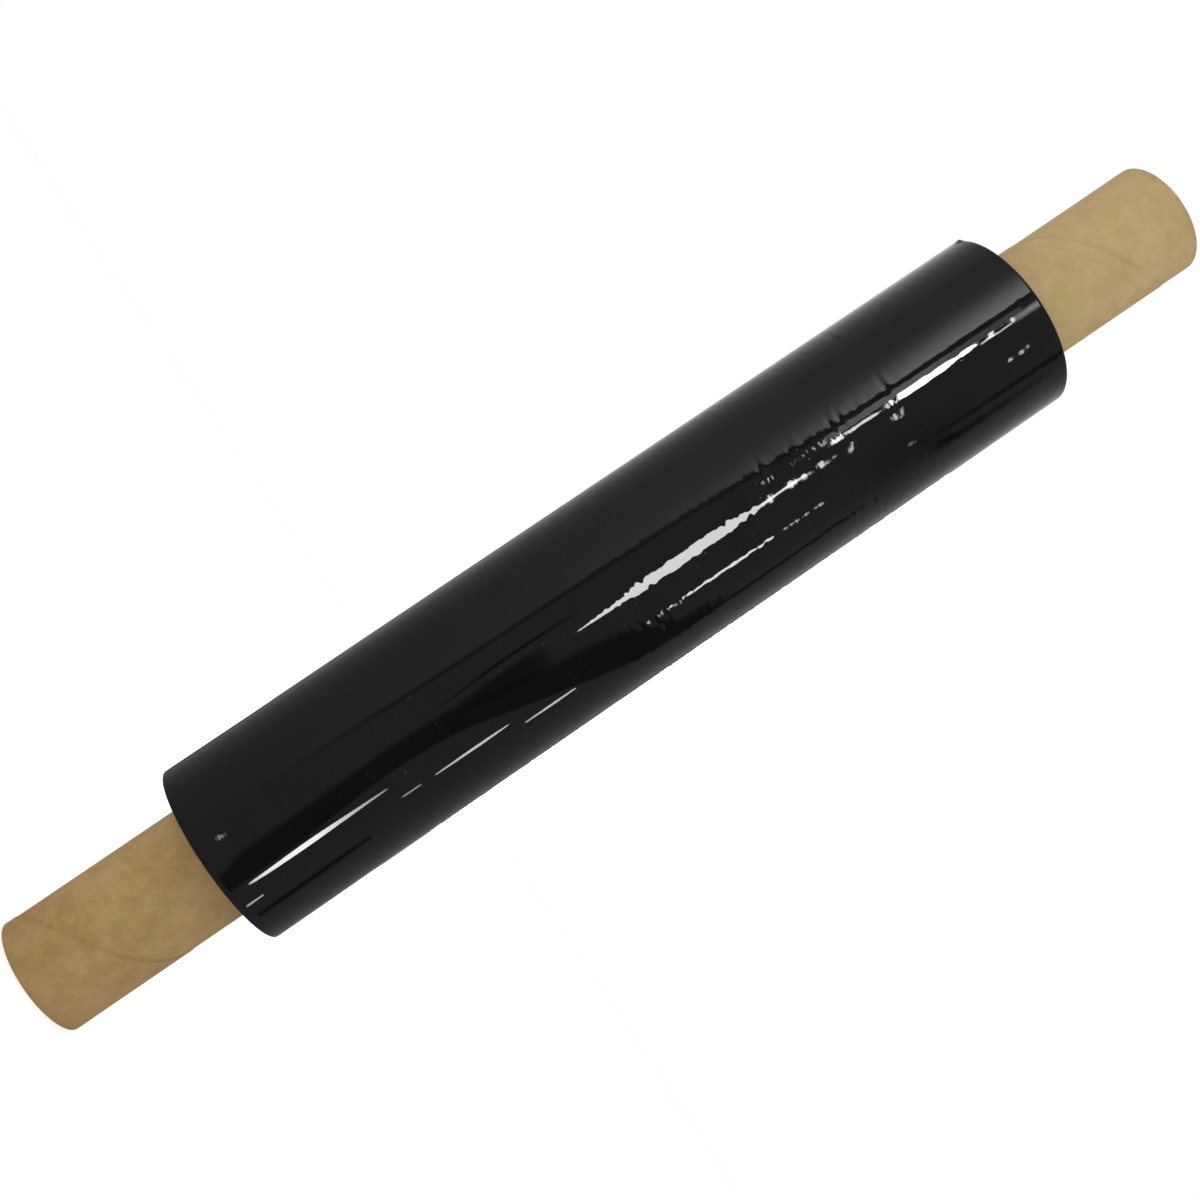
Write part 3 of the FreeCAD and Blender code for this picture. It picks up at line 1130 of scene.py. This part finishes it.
@dataclass
class Studio:
    """The plain white studio: pale floor, even light, and cards for the film to reflect."""

    even_light: float = 0.74
    floor_albedo: float = 0.80
    floor_lift: float = 0.40
    floor_half: float = 4.0
    floor_drop: float = 0.05 * MM
    front_gloss: float = 0.235
    back_gloss: tuple[tuple[float, float], ...] = (
        (0.0, 0.0), (80.0, 0.0), (107.0, 0.14), (123.0, 0.32), (148.0, 0.60), (180.0, 0.90),
    )
    right_share: float = 0.55
    cards: tuple[ReflectionCard, ...] = (
        # the lamp strips low on the film, from the foot end to the middle
        ReflectionCard("strip_a", 22, ((-190, 22, 23.2, 0.6), (-180, 21.5, 23.8, 0.9),
            (-162, 20.8, 23.9), (-145, 21.2, 23.3, 0.6), (-127, 21.8, 22.6, 0.3))),
        ReflectionCard("strip_a_bit", 9, ((-196.5, 32.6, 33.9, 0.8), (-189, 32.6, 33.5))),
        ReflectionCard("strip_d_bit", 5, ((-124, 31.2, 32.3), (-116, 31.2, 32.3))),
        ReflectionCard("strip_d", 12, ((-109, 31.5, 32.2, 0.8), (-95, 31.1, 32.6),
            (-84, 31.1, 32.6), (-75, 31.5, 32.2, 0.9))),
        ReflectionCard("strip_e", 11, ((-68.5, 36.9, 37.7, 0.8), (-57, 36.6, 38.1),
            (-45, 36.8, 37.8, 0.9))),
        # the wide strip at the middle, and its broken end
        ReflectionCard("strip_b", 16, ((-32, 8.9, 9.3), (-22, 8.3, 9.8), (-10, 7.5, 10.2),
            (-5, 6.3, 10.6), (4, 5.5, 11.2), (18, 5.2, 11.4), (38, 5.4, 11.2), (48, 6.4, 10.6),
            (57.5, 8, 9.4))),
        ReflectionCard("strip_b_tail", 18, ((57.5, 7.8, 9.6), (66, 7.8, 9), (72, 7.6, 9.2),
            (80, 8.3, 9.3, 0.5))),
        ReflectionCard("strip_f", 17, ((10.5, 27.5, 28.8), (20, 27.3, 28.9), (40, 27.3, 28.9),
            (55, 27.6, 28.7, 0.9))),
        ReflectionCard("strip_f_start", 9, ((-1, 27.4, 28.9), (8, 28.2, 29.8, 0.5))),
        # the brightest strip, towards the head end
        ReflectionCard("strip_c_start", 8, ((94, 1, 2.6, 0.8), (97, 0.8, 3.4),
            (100.6, 1.6, 3.4, 0.6))),
        ReflectionCard("strip_c_wave", 17, ((102, 1.4, 2.6, 0.7), (104.6, 1.2, 3.4),
            (108, 1.5, 2.9, 0.9), (112, 1.3, 3.1), (116, 1.9, 3.3, 0.9), (118.6, 2.1, 2.9, 0.5))),
        ReflectionCard("strip_c", 34, ((129, 0.7, 3.2, 0.8), (131, 0.1, 3.9), (136, 0.2, 4),
            (141, -0.1, 4.2), (145, 0.4, 3.8), (150, 0.1, 4.1), (154, 0.5, 3.5),
            (158, 1, 2.8, 0.9), (160, 0.5, 3.2), (163.5, 0.4, 3.1), (165.2, 1, 2.6, 0.9),
            (167.2, 0.9, 2.7, 0.9))),
        ReflectionCard("strip_c_end", 15, ((169, 2.9, 3.7, 0.6), (173, 2.2, 3.5),
            (178, 2.9, 3.7, 0.8), (184, 2.6, 3.6, 0.8))),
        ReflectionCard("strip_c_rim", 4.8, ((183, 0.6, 4.6, 0.2), (192, -0.6, 5.2, 0.9),
            (215, -1.4, 5.6, 1.1)), fade=CardFade.SOFT),
        ReflectionCard("strip_c_veil", 1.9, ((88, -3, 0.6, 0.1), (104, -3.2, 0.6, 0.9),
            (140, -3.2, 0.4), (162, -2.8, 0.8, 0.5), (190, -2.4, 1.6, 0.4))),
        # the white room wall above them, brightest beside its lower edge
        ReflectionCard("wall", 0.24, ((-215, -60, -22.5, 0.05), (-132, -60, -17, 0.25),
            (-50, -60, -13.8, 0.6), (25, -60, -12.2, 0.95), (70, -60, -9.2), (110, -60, -6.6, 0.9),
            (215, -60, -5.4, 0.8)), fade=CardFade.WIDE_HIGH),
        ReflectionCard("wall_glow", 2.5, ((-20, -30, -13.2, 0.02), (25, -30, -12, 0.05),
            (60, -30, -9.6, 0.16), (90, -30, -7.4, 0.36), (120, -30, -6.2, 0.62),
            (150, -30, -5.8, 0.9), (215, -30, -5.6, 1.15)), fade=CardFade.GATHERED_HIGH),
        ReflectionCard("wall_foot_line", 0, ((-150, -20.6, -14.4, 0.2), (-118, -18.9, -13.3, 0.8),
            (-100, -17.2, -12.4), (-50, -15.4, -10.8), (0, -13.4, -8.9), (25, -12.2, -8.2),
            (70, -9.4, -5.2), (110, -6.8, -3.4), (215, -5.6, -3)), passes=0.4, fade=CardFade.SOFT),
        # the dark things in the room
        ReflectionCard("dark_band", 0, ((-215, 8, 21), (-194, 6.6, 20.6), (-186, 2.8, 20.2),
            (-165, 2.2, 19.6), (-145, 2, 17.6), (-128, 1.6, 16), (-112, 1.6, 16.2),
            (-95, 2.4, 18.2), (-84, 3.6, 21.2), (-74, 6.2, 25), (-64, 9.4, 29), (-50, 13.2, 34),
            (-38, 15, 39.4), (-26, 18, 44), (-16, 22, 47.6), (-7, 27.4, 48.8), (2, 35, 49),
            (12, 43, 49.4), (28, 45.6, 49.4, 0.9), (91, 45.8, 49.2, 0.9)),
            passes=0.17, fade=CardFade.SOFT_LOW),
        ReflectionCard("dark_band_shoulder", 0, ((-86, 3.6, 9, 0.2), (-76, 2.6, 14, 0.9),
            (-62, 2.2, 17), (-52, 2.6, 17, 0.8), (-43, 6, 17, 0)),
            passes=0.16, fade=CardFade.SOFT_LOW),
        ReflectionCard("dark_line_foot", 0, ((-196, 39.6, 46.6, 0.9), (-165, 39.2, 46),
            (-143, 39.6, 44.6, 0.9)), passes=0.0, fade=CardFade.SOFT),
        ReflectionCard("dark_wisp", 0, ((-94, 0.4, 2, 0.4), (-80, -1.2, 1.4, 0.8),
            (-66, -2.2, 0.8), (-48, -2.2, 0.8), (-34, -1.2, 1.2, 0.6), (-26, 0.2, 1.8, 0.2)),
            passes=0.0, fade=CardFade.SOFT),
        ReflectionCard("dark_smudge", 0, ((4, 37, 48, 0.5), (14, 38, 48, 0.9), (30, 42, 48, 0.3)),
            passes=0.1, fade=CardFade.SOFT_LOW),
        ReflectionCard("dark_haze", 0, ((78, 14, 47, 0), (95, 12, 47, 0.9), (118, 12, 47),
            (134, 14, 47, 0.5), (148, 16, 47, 0)), passes=0.6, fade=CardFade.SOFT),
        ReflectionCard("dark_line_head", 0, ((126, 30.6, 36.6, 0.3), (150, 31.2, 37, 0.6),
            (185, 32.2, 38.4, 0.9), (215, 32.4, 38.6, 0.9)), passes=0.0, fade=CardFade.SOFT),
        ReflectionCard("dark_line_low_head", 0, ((124, 34, 47.6, 0.1), (136, 34.6, 47.6),
            (146, 38, 47.6, 0.9), (190, 40, 47, 0.3)), passes=0.0, fade=CardFade.SOFT),
        ReflectionCard("dark_edge_left", 0, ((-215, -84, -74), (-150, -84, -74, 0.7),
            (-60, -84, -74, 0.6), (0, -84, -74, 0.4), (25, -84, -74, 0)),
            passes=0.2, fade=CardFade.SOFT),
        ReflectionCard("dark_edge_right", 0, ((-120, 74, 84, 0.1), (-50, 74, 84, 0.8), (0, 74, 84),
            (60, 74, 84, 0.7), (110, 74, 84, 0.5), (160, 74, 84, 0.2)),
            passes=0.2, fade=CardFade.SOFT),
    )
    # glints painted into the film's reflection by small glowing cards, where dents would catch a
    # lamp
    glints: tuple[Glint, ...] = (
        Glint(-189.8, -7.9, 0.35, 1.6, 8, 1), Glint(-188.2, -7.6, 0.3, 1.4, 7, 1),
        Glint(60.9, 28.1, 0.5, 0.8, 8), Glint(64, 28.1, 0.5, 0.8, 9),
        Glint(66.2, 28.3, 0.8, 1.1, 11), Glint(71.1, 28.2, 0.7, 0.9, 9),
        Glint(75.9, 28.2, 0.5, 0.8, 8), Glint(78.4, 28.2, 0.7, 1, 9),
        Glint(61.2, 8.4, 1.4, 2.6, 16, -0.4), Glint(71.8, 8.3, 1.9, 2.4, 16),
        Glint(77.7, 8.9, 0.9, 1.9, 14), Glint(80.8, 9.2, 0.5, 1, 9),
        Glint(86.3, 8.9, 1.1, 2.1, 16), Glint(89.1, 9.4, 0.5, 1.3, 10),
        Glint(92.6, 9.3, 0.8, 0.9, 6), Glint(100.3, 10.4, 1.6, 1, 14, -1.6),
        Glint(122.5, 10, 1.1, 2.2, 12), Glint(125.8, 10, 1.3, 1, 13, -1.9),
        Glint(64.8, -0.8, 0.45, 1.7, 20), Glint(79.7, -0.8, 0.9, 1.5, 5),
        Glint(91.1, -0.9, 0.9, 2, 9), Glint(122.8, 28.7, 1, 1.2, 5),
        Glint(125.2, 29.4, 0.5, 0.8, 3), Glint(94.6, 2.3, 0.8, 1.2, 14),
        Glint(97, 1.6, 1.2, 2.2, 17), Glint(99.6, 2.4, 0.8, 1.5, 16),
        Glint(122.4, 2.3, 1.3, 1.8, 18), Glint(127.4, 1.9, 1.7, 2, 24),
        Glint(174.7, 1.9, 1.3, 1.6, 20), Glint(185.3, 1.8, 1, 1.8, 16),
        Glint(176.9, 20.2, 1.1, 1.2, 9), Glint(182.8, 20.3, 1.1, 1.3, 10),
        Glint(185.9, 19.5, 0.8, 1.2, 8),
    )
    lamps: tuple[SoftLamp, ...] = (
        SoftLamp("head_lamp", (0.14, -0.95, 1.25), (0.0, 0.0, 0.53), (0.9, 0.9), 2.8),
        SoftLamp("front_box", (0.0, -1.1, 0.25), (0.0, 0.0, 0.20), (0.8, 0.5), 1.8),
        SoftLamp("left_box", (-1.1, -0.1, 0.25), (0.0, 0.0, 0.20), (0.8, 0.5), 2.6),
        SoftLamp("right_box", (1.1, -0.1, 1.0), (0.0, 0.0, 0.53), (0.8, 0.5), 1.9),
        SoftLamp("rear_box", (0.0, 1.1, 0.25), (0.0, 0.0, 0.20), (0.8, 0.5), 2.4),
        SoftLamp("back_strip", (0.10, 1.0, 0.42), (0.0, 0.0, 0.30), (0.14, 0.7), 4.0, True),
    )

    def world(self) -> None:
        """White to the camera, even to matt faces, and darker in front to glossy faces."""
        world = bpy.data.worlds.new("studio")
        bpy.context.scene.world = world
        world.use_nodes = True
        sheet = NodeSheet(world.node_tree)
        x, y, z = sheet.flow("ShaderNodeTexCoord", output="Generated").parts()
        turned = abs(sheet.math("ARCTAN2", x, y * -1.0))
        ramp = sheet.node("ShaderNodeValToRGB", {0: turned / math.pi})
        stops = ramp.color_ramp.elements
        while len(stops) < len(self.back_gloss):
            stops.new(0.5)
        for stop, (angle, glow) in zip(stops, self.back_gloss):
            stop.position = angle / 180.0
            stop.color = (glow, glow, glow, 1.0)
        # behind the roll the room grows brighter with height, and more so on the left
        level = ((z + 0.22) / 0.63).at_least(0.0)
        climb = sheet.math("POWER", level, 1.3).at_most(1.3)
        side = x.ease(-0.3, 0.3, 1.0, self.right_share)
        gloss = self.front_gloss + Value(sheet, ramp.outputs[0]) * climb * side
        path = sheet.node("ShaderNodeLightPath").outputs
        strength = self.even_light
        for ray, seen in (("Is Glossy Ray", gloss), ("Is Camera Ray", 1.0)):
            strength = sheet.flow("ShaderNodeMix", {
                0: Value(sheet, path[ray]), 2: strength, 3: seen}, data_type="FLOAT")
        sheet.feed(sheet.tree.nodes["Background"],
                   {"Strength": strength, "Color": (1.0, 1.0, 1.0)})

    def floor(self) -> None:
        """A wide pale floor, lifted to white for the camera, that keeps the roll's shadow."""
        mesh = bpy.data.meshes.new("floor")
        corners = [(x * self.floor_half, y * self.floor_half, -self.floor_drop)
                   for x, y in ((-1.0, -1.0), (1.0, -1.0), (1.0, 1.0), (-1.0, 1.0))]
        mesh.from_pydata(corners, [], [(0, 1, 2, 3)])
        material, sheet = stage_material("floor")
        camera_ray = sheet.flow("ShaderNodeLightPath", output="Is Camera Ray")
        paint = sheet.flow("ShaderNodeBsdfDiffuse", {"Color": (self.floor_albedo,) * 3})
        lift = sheet.flow("ShaderNodeEmission", {"Strength": camera_ray * self.floor_lift})
        both = sheet.flow("ShaderNodeAddShader", {0: paint, 1: lift})
        # a camera below the floor sees through it
        below = camera_ray * sheet.flow("ShaderNodeNewGeometry", output="Backfacing")
        view = sheet.flow("ShaderNodeMixShader", {
            0: below, 1: both, 2: sheet.flow("ShaderNodeBsdfTransparent")})
        sheet.node("ShaderNodeOutputMaterial", {"Surface": view})
        mesh.materials.append(material)
        floor = new_object("floor", mesh)
        floor.visible_glossy = False

    def build(self, camera: bpy.types.Object, roll: FilmRoll) -> None:
        """Set up the world, the floor, the lamps and the cards.

        Args:
            camera: The scene's camera, whose place sets where the cards hang.
            roll: The film roll that reflects them.
        """
        self.world()
        self.floor()
        for lamp in self.lamps:
            lamp.build()
        glints = [glint.card(f"glint_{count}") for count, glint in enumerate(self.glints)]
        for card in self.cards + tuple(glints):
            card.build(camera.location, roll)
        bpy.context.scene.view_settings.view_transform = "Standard"


def packed_sizes() -> tuple[CoreTube, FilmRoll]:
    """The core and the film at their packed sizes."""
    core_low, core_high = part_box("core_tube")
    film_low, film_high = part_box("film_roll")
    mounts = {mount["name"]: mount for mount in frame["record"]["mounts"]}
    core_radius = (core_high.x - core_low.x) / 2
    core = CoreTube(length=core_high.z, outer_radius=core_radius,
                    bore_radius=mounts["core_bore"]["dims"]["r_mm"] * MM)
    film = FilmRoll(foot=film_low.z, head=film_high.z, radius=film_high.y,
                    core_radius=core_radius)
    return core, film


def main() -> None:
    """Build the roll's pieces, then the studio round them."""
    logging.basicConfig(level=logging.INFO)
    shared = SharedEffects.build()
    core, film = packed_sizes()
    core.build(shared)
    film.build(shared)
    camera = PhotoCamera().build()
    Studio().build(camera, film)
    bpy.context.view_layer.update()


if __name__ == "__main__":
    main()
